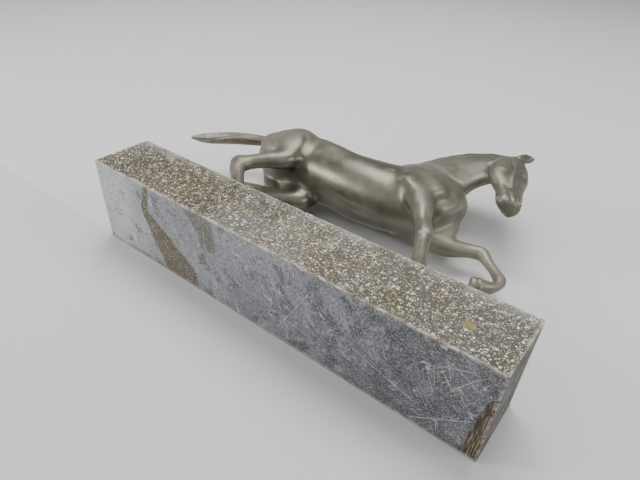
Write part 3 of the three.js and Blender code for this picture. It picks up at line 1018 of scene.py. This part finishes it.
def wave_noise(p, scale, seed, octaves=4):
    """Soft noise in about -1..1: a sum of sines of the place in turned directions, each octave
    twice as fine and half as high as the one before."""
    draw = np.random.default_rng(seed)
    total = np.zeros(p.shape[:-1])
    for octave in range(octaves):
        for _ in range(5):
            direction = unit(draw.normal(size=3)) * (2.0**octave) / scale * draw.uniform(0.7, 1.4)
            total += np.sin(2 * np.pi * (p @ direction) + draw.uniform(0, 2 * np.pi)) / 2**octave
    return total / 5.5


def stops(half, cells):
    """Grid lines from -half to half, crowded near both ends: half * sin of an even angle,
    mixed with even steps."""
    even = np.linspace(-1, 1, cells)
    return half * (0.35 * even + 0.65 * np.sin(np.pi / 2 * even))


def worn_block(size, cells, wear):
    """Six grids on the faces of a box. A point p is pulled to the nearest point q of the box
    shrunk by the wear r, then put back out by r along p - q: flat faces stay, edges turn
    round. r changes from place to place."""
    half = np.array(size) / 2
    lines = [stops(h, c) for h, c in zip(half, cells)]
    points, faces, start = [], [], 0
    for axis in range(3):
        u, v = [k for k in range(3) if k != axis]
        for sign in (-1, 1):
            grid = np.zeros((len(lines[u]), len(lines[v]), 3))
            grid[..., u], grid[..., v] = np.meshgrid(lines[u], lines[v], indexing="ij")
            grid[..., axis] = sign * half[axis]
            i = np.arange(grid.shape[0] - 1)[:, None] * grid.shape[1]
            j = np.arange(grid.shape[1] - 1)[None]
            a = (start + i + j).ravel()
            quad = np.c_[a, a + grid.shape[1], a + grid.shape[1] + 1, a + 1]
            outward = (sign > 0) == (axis != 1)
            faces.append(quad if outward else quad[:, ::-1])
            points.append(grid.reshape(-1, 3))
            start += grid.shape[0] * grid.shape[1]
    p = np.vstack(points)
    r = wear(p)[:, None]
    q = np.clip(p, -(half - r), half - r)
    return q + unit(p - q) * r, np.vstack(faces)


print("grid lines of a short edge:", stops(HEIGHT / 2, 5).round(1))

# %% [markdown]
# The wear is a radius that changes slowly along the edges, with a chip here and there. How near
# a point is to an edge is stored as worn, so that the material can show fresh stone there.

# %% The plinth


def plinth_wear(p):
    """0.9 mm of rounding that swells and shrinks slowly, and chips up to 4 mm."""
    slow = wave_noise(p, 60, 3, 3)
    chips = np.clip(wave_noise(p, 15, 11, 4) - 0.35, 0, 1)
    deep = np.clip(wave_noise(p, 50, 29, 2) - 0.6, 0, 1)
    return np.clip(0.9 + 0.4 * slow + 4.5 * chips + 5 * deep, 0.35, 4.0)


skin, quads = worn_block((LENGTH, WIDTH, HEIGHT), (260, 90, 72), plinth_wear)
skin[:, 2] += HEIGHT / 2
block = bmesh.new()
rough = build_mesh("plinth_stone", skin, [tuple(map(int, q)) for q in quads])
block.from_mesh(rough)
bmesh.ops.remove_doubles(block, verts=block.verts, dist=0.00001)
bmesh.ops.recalc_face_normals(block, faces=block.faces)
block.to_mesh(rough)
rough.shade_smooth()
points = read_points(rough)
gaps = np.abs(np.abs(points - [0, 0, HEIGHT / 2]) - [LENGTH / 2, WIDTH / 2, HEIGHT / 2])
layer = rough.attributes.new("worn", "FLOAT", "POINT")
layer.data.foreach_set("value", np.exp(-((np.sort(gaps, axis=1)[:, 1] / 1.5) ** 2)))
plinth = build_object("plinth_stone", rough)
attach(plinth, "root")
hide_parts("plinth")
print("plinth:", len(rough.polygons), "faces, open edges",
      sum(edge.is_boundary for edge in block.edges))

# %% [markdown]
# ## Shader sums
# A material is arithmetic on patterns. The small class below wraps a socket so that the sums can
# be written as sums, and its one method makes any other node.

# %% Sockets that add and multiply


class Sum:
    """A shader socket with arithmetic."""

    tree = None

    def __init__(self, socket):
        self.socket = socket

    @classmethod
    def node(cls, kind, settings=None, inputs=None, output=0):
        """Make a node of a type, give it its settings and then the values or links of its
        sockets, which go by name or number."""
        node = cls.tree.nodes.new(kind)
        for key, value in (settings or {}).items():
            setattr(node, key, value)
        for key, value in (inputs or {}).items():
            cls.feed(node.inputs[key], value)
        return cls(node.outputs[output])

    @classmethod
    def feed(cls, socket, value):
        if isinstance(value, cls):
            cls.tree.links.new(value.socket, socket)
        elif socket.type == "RGBA":
            socket.default_value = (*value, 1)
        else:
            socket.default_value = value

    @classmethod
    def math(cls, operation, *values, clamp=False):
        settings = {"operation": operation, "use_clamp": clamp}
        return cls.node("ShaderNodeMath", settings, dict(enumerate(values)))

    def __add__(self, other):
        return self.math("ADD", self, other)

    def __radd__(self, other):
        return self.math("ADD", other, self)

    def __sub__(self, other):
        return self.math("SUBTRACT", self, other)

    def __rsub__(self, other):
        return self.math("SUBTRACT", other, self)

    def __mul__(self, other):
        return self.math("MULTIPLY", self, other)

    def __rmul__(self, other):
        return self.math("MULTIPLY", other, self)

    def __truediv__(self, other):
        return self.math("DIVIDE", self, other)

    def __rtruediv__(self, other):
        return self.math("DIVIDE", other, self)

    def __pow__(self, other):
        return self.math("POWER", self, other)

    def __abs__(self):
        return self.math("ABSOLUTE", self)

    def step(self, low, high):
        """0 below low, 1 above high, and a smooth rise between, or a fall if low > high."""
        ends = (1.0, 0.0) if low > high else (0.0, 1.0)
        return self.node("ShaderNodeMapRange", {"interpolation_type": "SMOOTHSTEP"}, {
            "Value": self, "From Min": min(low, high), "From Max": max(low, high),
            "To Min": ends[0], "To Max": ends[1],
        })


def most(*masks):
    """The largest of several masks at each place."""
    total = masks[0]
    for mask in masks[1:]:
        total = Sum.math("MAXIMUM", total, mask)
    return total


def mix(mask, a, b):
    """The colour a where mask is 0 and b where it is 1."""
    return Sum.node("ShaderNodeMix", {"data_type": "RGBA"}, {0: mask, 6: a, 7: b}, 2)


print("sockets take +, -, *, /, ** and abs")

# %% [markdown]
# A few patterns are enough: noise for clouds and grit, cells for grains, and the plain distance
# along an axis or to a spot. All are in object coordinates, which are metres here because every
# piece sits at the origin, so a pattern runs on from one piece to the next.

# %% Patterns


def places(scale=(1, 1, 1), turn=(0, 0, 0), move=(0, 0, 0), kind="POINT"):
    """Object coordinates in metres: scaled, turned and moved as a point, or, as a texture,
    moved and turned back and then divided by the scale."""
    coords = Sum.node("ShaderNodeTexCoord", output=3)
    return Sum.node("ShaderNodeMapping", {"vector_type": kind}, {
        "Vector": coords, "Scale": scale, "Rotation": turn, "Location": move,
    })


def noise(scale, detail=3.0, rough=0.5, where=None, distortion=0.0):
    return Sum.node("ShaderNodeTexNoise", None, {
        "Vector": where or places(), "Scale": scale, "Detail": detail, "Roughness": rough,
        "Distortion": distortion,
    })


def cells(scale, output=0):
    """The distance to the middle of each cell, or, as output 1, a random colour for each."""
    return Sum.node("ShaderNodeTexVoronoi", None, {"Vector": places(), "Scale": scale}, output)


def axis(which, where=None):
    return Sum.node("ShaderNodeSeparateXYZ", None, {"Vector": where or places()}, which)


def attribute(name):
    return Sum.node("ShaderNodeAttribute", {"attribute_name": name}, output=2)


def spot(x, y, z, radius, soft=0.5):
    """1 within a radius of a place given in millimetres, with an uneven rim."""
    middle = (x * MM, y * MM, z * MM)
    distance = Sum.node(
        "ShaderNodeVectorMath", {"operation": "DISTANCE"}, {0: places(), 1: middle}, "Value"
    )
    far = distance / (radius * MM) + (noise(700, 2) - 0.5) * 0.9
    return far.step(1.0, soft)


print("patterns:", ", ".join(f.__name__ for f in (noise, cells, axis, attribute, spot)))

# %% [markdown]
# Every material starts with its own tree and one shader, whose sockets are then fed by name.
# A bump turns a height pattern into a normal, for relief too fine for the mesh.

# %% Beginning a material


def begin(name):
    material = bpy.data.materials.new(name)
    material.use_nodes = True
    Sum.tree = material.node_tree
    return material, Sum.tree.nodes["Principled BSDF"]


def set_inputs(shader, **values):
    for key, value in values.items():
        Sum.feed(shader.inputs[key.replace("_", " ")], value)


def bump(height, strength, distance):
    return Sum.node("ShaderNodeBump", None, {
        "Strength": strength, "Distance": distance, "Height": height,
    })

# %% [markdown]
# ## Bronze
# The patina is a dark olive brown under old wax. Handling has browned and polished the swells,
# the hollows are nearly black, and a little pale green has grown at the throat, the corner of
# the mouth and the knee. The cast skin has a faint orange peel, and the tip of the tail is worn.

# %% Bronze with a brown patina
GREEN_SPOTS = (
    # x, y, z and radius
    (75, -26, 283, 5.5), (110, -24, 219, 3.6), (79.5, -24, 122.5, 2.4), (86, -25, 126, 2.2),
    (-84, -25, 66, 2.5), (12, -33, 189, 2.0), (-60, -24, 158, 1.6),
)
bronze, shader = begin("bronze_brown_patina")
hollow = attribute("hollow")
ridge = hollow.step(0.47, 0.28)
groove = hollow.step(0.54, 0.85)
green = most(*(spot(*place) for place in GREEN_SPOTS), groove * noise(60, 3).step(0.6, 0.75) * 0.5)
cloud = noise(14, 4, 0.55)
fine = noise(110, 5, 0.6)
rub = noise(1.0, 3, 0.5, places((40, 40, 160)))
tone = mix(cloud.step(0.35, 0.7), (0.125, 0.116, 0.089), (0.218, 0.205, 0.161))
tone = mix(fine.step(0.42, 0.8) * 0.55, tone, (0.225, 0.214, 0.172))
tone = mix(noise(38, 4, 0.6).step(0.55, 0.75) * 0.45, tone, (0.150, 0.112, 0.068))
tone = mix(rub.step(0.55, 0.8) * 0.25, tone, (0.20, 0.195, 0.17))
tone = mix(ridge * 0.5, tone, (0.29, 0.27, 0.215))
tone = mix(groove * 0.85, tone, (0.020, 0.018, 0.013))
dust = noise(800, 2, 0.6).step(0.66, 0.76) * noise(45, 2).step(0.45, 0.65)
tone = mix(dust * 0.55, tone, (0.36, 0.35, 0.30))
tip = axis(0).step(-0.186, -0.222) * noise(140, 3).step(0.3, 0.65)
tone = mix(tip * 0.75, tone, (0.42, 0.40, 0.36))
tone = mix(green * 0.7, tone, (0.24, 0.36, 0.33))
matt = most(green, groove * 0.6)
# painted shade: the lower barrel under the belly is painted darker, standing in for shade and a dark
# reflection there; the same mask also makes it more polished and more metallic
belly_shade_and_polish = axis(2).step(0.235, 0.175) * abs(axis(0) + 0.02).step(0.11, 0.05)
tone = mix(belly_shade_and_polish * 0.3, tone, (0.075, 0.068, 0.052))
gloss = 0.45 + (fine - 0.5) * 0.25 + (cloud - 0.5) * 0.2 - belly_shade_and_polish * 0.1 + matt * 0.25
peel = noise(420, 3, 0.55) * 0.5 + noise(80, 3, 0.5) * 1.1
set_inputs(
    shader, Base_Color=tone, Roughness=gloss, Metallic=0.58 + belly_shade_and_polish * 0.14 - matt * 0.4,
    Normal=bump(peel, 0.3, 0.0007),
)
for piece in castings_done.values():
    piece.data.materials.append(bronze)
print("bronze on", len(castings_done), "castings")

# %% [markdown]
# ## Limestone
# The stone is a dark blue-grey limestone full of sea-lily fossils, which show as pale flecks and
# rings on the long sides. The underside was sawn and never polished: it is matt blue grey,
# scratched, with two slanting patches where the saw left the brown crust.

# %% Grains and clouds
stone, shader = begin("flecked_limestone")
length, across, height = axis(0), axis(1), axis(2)
under = height.step(0.0012, 0.0002)
end_face = abs(length).step(LENGTH / 2 * MM - 0.0015, LENGTH / 2 * MM - 0.0005)
cloud = noise(9, 5, 0.65)
stain = noise(22, 5, 0.65)
grit = noise(650, 4, 0.75)
dark_grit = noise(430, 3, 0.7).step(0.5, 0.66)


def flecks(scale, size, share, crowd):
    """Pale grains: the middles of a share of the cells, cut out by a noisy radius. Where crowd
    is high more of the cells carry a grain."""
    near = cells(scale) + (noise(scale * 2.6, 2) - 0.5) * 0.5
    pick = axis(0, cells(scale, 1)) + crowd * 0.3
    return near.step(size, size * 0.55) * pick.step(1.15 - share, 1.2 - share)


crowd = noise(30, 5, 0.7)
dots = flecks(900, 0.40, 0.45, crowd)
small = flecks(520, 0.40, 0.42, crowd)
middle = flecks(290, 0.38, 0.30, noise(17, 4, 0.6))
large = flecks(135, 0.30, 0.14, noise(13, 3, 0.6))
rings = abs(cells(240) - 0.26).step(0.07, 0.03) * axis(1, cells(240, 1)).step(0.78, 0.8)
print("grains and rings made")

# %% [markdown]
# The long sides and the top are honed: a dark ground, browner in places and near the back,
# carries the pale grains. The ends are split, greyer and plainer.

# %% Long sides and ends
ground = mix(cloud.step(0.40, 0.62), (0.034, 0.032, 0.026), (0.150, 0.146, 0.128))
ground = mix(length.step(0.0, 0.12) * 0.5, ground, (0.028, 0.026, 0.020))
olive = most(stain.step(0.46, 0.66), abs(length + 0.11).step(0.07, 0.01) * 0.8 * stain.step(0.3, 0.5))
ground = mix(olive * 0.75, ground, (0.085, 0.064, 0.030))
ground = mix(dark_grit * 0.7, ground, (0.020, 0.018, 0.014))
ground = mix(grit.step(0.54, 0.68) * 0.5, ground, (0.42, 0.40, 0.33))
pale = mix(noise(150, 2).step(0.44, 0.66), (0.80, 0.75, 0.60), (0.54, 0.44, 0.25))
side_tone = mix(dots * 0.75, ground, pale)
side_tone = mix(rings * 0.4, side_tone, pale)
side_tone = mix(small * 0.85, side_tone, pale)
side_tone = mix(middle * 0.9, side_tone, pale)
side_tone = mix(large * 0.7, side_tone, (0.52, 0.49, 0.42))
side_tone = mix(height.step(0.046, 0.058) * noise(50, 4).step(0.35, 0.6) * 0.35, side_tone,
                (0.37, 0.37, 0.35))
lichen = spot(165, -42, 24, 6, 0.2)
side_tone = mix(lichen * 0.7, side_tone, (0.26, 0.19, 0.03))
end_tone = mix(noise(60, 5, 0.7).step(0.38, 0.6), (0.036, 0.034, 0.030), (0.15, 0.147, 0.138))
end_tone = mix(small * 0.4, end_tone, (0.48, 0.47, 0.44))
print("long sides and ends mixed")

# %% [markdown]
# Scratches are the lines where a noise drawn out along one direction crosses its middle value.
# Several sets at different angles give the criss-cross of a stone that has been dragged about.

# %% The sawn underside


def scratches(turn, scale, stretch, keep, seed):
    """Thin light lines: noise drawn out along one direction and cut near its middle value,
    kept only where a slower noise is high."""
    where = places((stretch / scale, 1 / scale, 1), (0, 0, turn), (seed, 0, 0), "TEXTURE")
    line = abs(noise(1.0, 0.0, 0.5, where, 0.1) - 0.5).step(0.014, 0.004)
    return line * noise(40, 3, 0.6, places((1, 1, 1), (0, 0, 0), (seed, 1, 0))).step(keep, keep + 0.08)


sawn = mix(cloud.step(0.3, 0.7), (0.150, 0.153, 0.166), (0.285, 0.289, 0.305))
# painted light: the underside is painted paler towards the -x end and darker towards the +x end, a fall
# of light along it
sawn = mix(length.step(0.05, -0.12) * 0.25, sawn, (0.50, 0.505, 0.53))
sawn = mix(length.step(-0.12, -0.17) * 0.62, sawn, (0.70, 0.705, 0.73))
sawn = mix(length.step(0.05, 0.15) * 0.65, sawn, (0.058, 0.059, 0.064))
blotch = noise(42, 6, 0.75) + length * 0.25
sawn = mix(blotch.step(0.49, 0.60) * 0.75, sawn, (0.060, 0.061, 0.066))
sawn = mix(noise(95, 5, 0.75).step(0.52, 0.66) * 0.5, sawn, (0.43, 0.435, 0.455))
sawn = mix(dark_grit * 0.7, sawn, (0.050, 0.052, 0.058))
sawn = mix(grit.step(0.50, 0.66) * 0.7, sawn, (0.50, 0.505, 0.52))
sawn = mix(dots * noise(30, 3, 0.6).step(0.45, 0.6) * 0.5, sawn, (0.55, 0.55, 0.56))
SCRATCH_SETS = (
    # turn, scale, stretch, how high the slower noise must be, seed
    (0.35, 200, 16, 0.55, 1), (-0.8, 220, 20, 0.55, 2), (1.25, 180, 14, 0.52, 3),
    (2.3, 240, 18, 0.55, 4), (0.9, 160, 16, 0.55, 5), (1.7, 300, 14, 0.55, 6),
)
scored = most(*(scratches(*row) for row in SCRATCH_SETS))
sawn = mix(scored * 0.6, sawn, (0.66, 0.66, 0.67))
print(len(SCRATCH_SETS), "sets of scratches")

# %% [markdown]
# Where the saw missed a little, the brown crust is left in two slanting patches, a leaf and a
# wedge. A corner has been scraped in streaks, and a few single scratches are deeper than the
# rest. Each is a tapering stroke from one place to another.

# %% Patches and strokes


def stroke(x0, y0, x1, y1, r0, r1, wobble=0.0, soft=0.8):
    """1 within a tapering stroke across the underside, from one place to another (mm)."""
    steps = np.array([x1 - x0, y1 - y0], float)
    size = float((steps**2).sum())
    rel_x, rel_y = length / MM - x0, across / MM - y0
    t = Sum.math("ADD", rel_x * float(steps[0] / size), rel_y * float(steps[1] / size), clamp=True)
    gap_x, gap_y = rel_x - t * float(steps[0]), rel_y - t * float(steps[1])
    gap = (gap_x * gap_x + gap_y * gap_y) ** 0.5
    if wobble:
        gap = gap + (noise(55, 4, 0.65) - 0.5) * wobble
    return (gap / (t * (r1 - r0) + r0)).step(1.0, soft)


leaf = most(stroke(-123, -44, -131, -16, 3.5, 5, 4), stroke(-128, -10, -90, 34, 7, 25, 10))
wedge = stroke(-58, -46, -45, -14, 20, 7, 10)
crust_tone = mix(0.4, ground, (0.150, 0.125, 0.080))
crust_tone = mix(most(dots, small) * 0.8, crust_tone, (0.55, 0.49, 0.36))
sawn = mix(wedge * 0.65, sawn, crust_tone)
sawn = mix(leaf * 0.92, sawn, crust_tone)
rim_stain = across.step(0.036, 0.042) * abs(length + 0.14).step(0.035, 0.02)
sawn = mix(rim_stain * 0.8, sawn, (0.20, 0.155, 0.085))
scrape = stroke(198, -16, 196, 40, 4, 10, 4)
comb = noise(1.0, 2, 0.6, places((1100, 60, 1))).step(0.45, 0.62)
sawn = mix(scrape * 0.92, sawn, mix(comb, (0.040, 0.030, 0.016), (0.27, 0.23, 0.16)))
DEEP_SCRATCHES = (
    # from x, y to x, y, and the half width at either end
    (96, 4, 152, 22, 0.35, 0.5), (150, 38, 190, 8, 0.6, 0.3), (168, -30, 190, -18, 0.4, 0.3),
    (160, -22, 182, -32, 0.3, 0.4), (20, -30, 40, 36, 0.3, 0.4), (28, 30, 60, -26, 0.3, 0.3),
    (-20, 6, 60, 20, 0.3, 0.3), (172, -8, 186, -30, 0.4, 0.3),
)
for line in DEEP_SCRATCHES:
    sawn = mix(stroke(*line, soft=0.2) * 0.6, sawn, (0.66, 0.66, 0.66))
print("two patches, a scrape and", len(DEEP_SCRATCHES), "deep scratches")

# %% [markdown]
# The three skins meet at the edges, where knocks have left paler, broken stone. The relief is
# fine grit with raised grains, sunk rings and scratches.

# %% Flecked limestone
body = mix(end_face, side_tone, end_tone)
body = mix(under, body, sawn)
worn = attribute("worn") * noise(330, 4, 0.75).step(0.38, 0.54)
edge_tone = mix(noise(90, 2).step(0.4, 0.62), (0.62, 0.60, 0.55), (0.33, 0.25, 0.14))
body = mix(worn * 0.9, body, edge_tone)
rough_skin = 0.60 + (grit - 0.5) * 0.3 - middle * 0.14 + under * 0.06
relief = grit * 0.7 + noise(150, 4, 0.65) * 0.8 - cells(240).step(0.22, 0.06) * 0.4 + middle * 0.3
relief = relief + (leaf + wedge * 0.5) * under * (stain - 0.8) * 1.6 - scored * under * 0.25
set_inputs(
    shader, Base_Color=body, Roughness=rough_skin, Normal=bump(relief, 0.5, 0.0009),
    Specular_IOR_Level=0.3,
)
plinth.data.materials.append(stone)
print("limestone has", len(Sum.tree.nodes), "nodes")

# %% [markdown]
# ## Fixings
# The studs and the resin around them are inside the stone and the hooves. They keep their packed
# shapes and get plain finishes.

# %% Steel and resin
steel, shader = begin("stud_steel")
drawn = noise(1.0, 3, 0.5, places((600, 600, 40)))
set_inputs(
    shader, Base_Color=mix(drawn, (0.42, 0.42, 0.41), (0.60, 0.60, 0.58)), Metallic=1.0,
    Roughness=0.28 + drawn * 0.2, Normal=bump(drawn, 0.15, 0.0003),
)
resin, shader = begin("anchoring_resin")
lump = noise(260, 4, 0.6)
set_inputs(
    shader, Base_Color=mix(lump, (0.46, 0.39, 0.26), (0.62, 0.55, 0.40)),
    Roughness=0.45 + lump * 0.2, Normal=bump(lump, 0.3, 0.0005),
)
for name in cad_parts:
    node = bpy.data.objects.get(name)
    if node is not None and name.endswith(("_stud", "_resin")):
        node.data.materials.clear()
        node.data.materials.append(steel if name.endswith("_stud") else resin)
print("fixings finished")

# %% [markdown]
# ## The setting
# The statue is seen lying on its left side, from below and to its right. A pale board stands
# against the plinth's left side for it to lie on, and a pale floor with an opening under the
# plinth serves the upright views. Each can only be seen from its own side.

# %% Board and floor


def one_sided(name, colour):
    """A matt surface that can't be seen from behind and casts no shadow."""
    material, shader = begin(name)
    set_inputs(shader, Base_Color=colour, Roughness=0.85)
    clear = Sum.node("ShaderNodeBsdfTransparent")
    behind = Sum.node("ShaderNodeNewGeometry", output="Backfacing")
    shadow = Sum.node("ShaderNodeLightPath", output="Is Shadow Ray")
    sides = {0: most(behind, shadow), 1: Sum(shader.outputs[0]), 2: clear}
    Sum.feed(Sum.tree.nodes["Material Output"].inputs[0], Sum.node("ShaderNodeMixShader", None, sides))
    return material


def sheet_around(name, outer, hole, place):
    """A flat sheet with a rectangular opening. place turns two coordinates in the sheet into
    a point in space."""
    us = [-outer, hole[0], hole[1], outer]
    vs = [-outer, hole[2], hole[3], outer]
    points = [place(u, v) for u in us for v in vs]
    faces = [
        (4 * i + j, 4 * i + 4 + j, 4 * i + 5 + j, 4 * i + 1 + j)
        for i in range(3) for j in range(3) if (i, j) != (1, 1)
    ]
    return build_object(name, build_mesh(name, np.array(points), faces))


FAR = 6000
ends = (-LENGTH / 2 - GAP, LENGTH / 2 + GAP)
floor = sheet_around("floor", FAR, (*ends, -WIDTH / 2 - GAP, WIDTH / 2 + GAP), lambda u, v: (u, v, 0.0))
board = sheet_around("board", FAR, (*ends, -GAP, HEIGHT + GAP), lambda u, v: (u, WIDTH / 2 + GAP, v))
for sheet in (floor, board):
    sheet.data.materials.append(one_sided(sheet.name + "_pale", (0.60, 0.60, 0.60)))
print("floor and board reach", FAR / 1000, "m each way")

# %% [markdown]
# ## Light and camera
# Large soft lights model a patinated bronze best, because its roughness spreads them into long
# sheens along the forms. The strongest stands to the horse's right and above, a small one low at
# the back lights the belly, and one behind keeps the far side from going black.

# %% Lights


def area_light(name, place, target, size, power):
    lamp = bpy.data.lights.new(name, "AREA")
    lamp.shape = "RECTANGLE"
    lamp.size, lamp.size_y = size
    lamp.energy = power
    light = bpy.data.objects.new(name, lamp)
    light.location = place
    light.rotation_euler = (Vector(target) - Vector(place)).to_track_quat("-Z", "Y").to_euler()
    bpy.context.scene.collection.objects.link(light)


area_light("window", (-0.3, -1.7, 0.7), (0, 0, 0.15), (1.3, 0.9), 34)
area_light("side_window", (1.4, -1.0, 0.5), (0, 0, 0.15), (0.6, 0.9), 10)
area_light("low_fill", (-0.2, -1.2, -0.9), (0, 0, 0.1), (1.2, 0.7), 7)
area_light("low_window", (-1.25, -0.65, -0.8), (0, 0, 0.17), (0.4, 0.4), 14)
area_light("back_fill", (-1.0, 1.3, 0.9), (0, 0, 0.15), (1.2, 1.0), 18)
print(len(bpy.data.lights), "lights")
world = bpy.data.worlds.new("studio")
bpy.context.scene.world = world
world.use_nodes = True
world.node_tree.nodes["Background"].inputs["Color"].default_value = (0.82, 0.83, 0.85, 1)
world.node_tree.nodes["Background"].inputs["Strength"].default_value = 0.3

# %% [markdown]
# The camera is below and to the right of the statue, beyond the front end of the stone, and is
# rolled so that the statue seems to lie on its left side. It is given by where it stands, the
# way it looks and the way its right-hand side points.

# %% Camera
VIEW_FROM = Vector((0.2233, -0.2609, -0.2177))
VIEW_ALONG = Vector((-0.4886, 0.6057, 0.628)).normalized()
IMAGE_RIGHT = Vector((0.7769, -0.0255, 0.629)).normalized()
camera_data = bpy.data.cameras.new("camera")
camera_data.sensor_width = 36
camera_data.lens = 28.6
camera_data.shift_x = 0.0234
camera_data.shift_y = 0.0312
camera_data.clip_start = 0.01
camera = bpy.data.objects.new("camera", camera_data)
up = IMAGE_RIGHT.cross(VIEW_ALONG).normalized()
right = VIEW_ALONG.cross(up).normalized()
pose = Matrix((right, up, -VIEW_ALONG)).transposed().to_4x4()
pose.translation = VIEW_FROM
camera.matrix_world = pose
bpy.context.scene.collection.objects.link(camera)
bpy.context.scene.camera = camera
print("camera", round(VIEW_FROM.length, 3), "m from the middle of the underside")
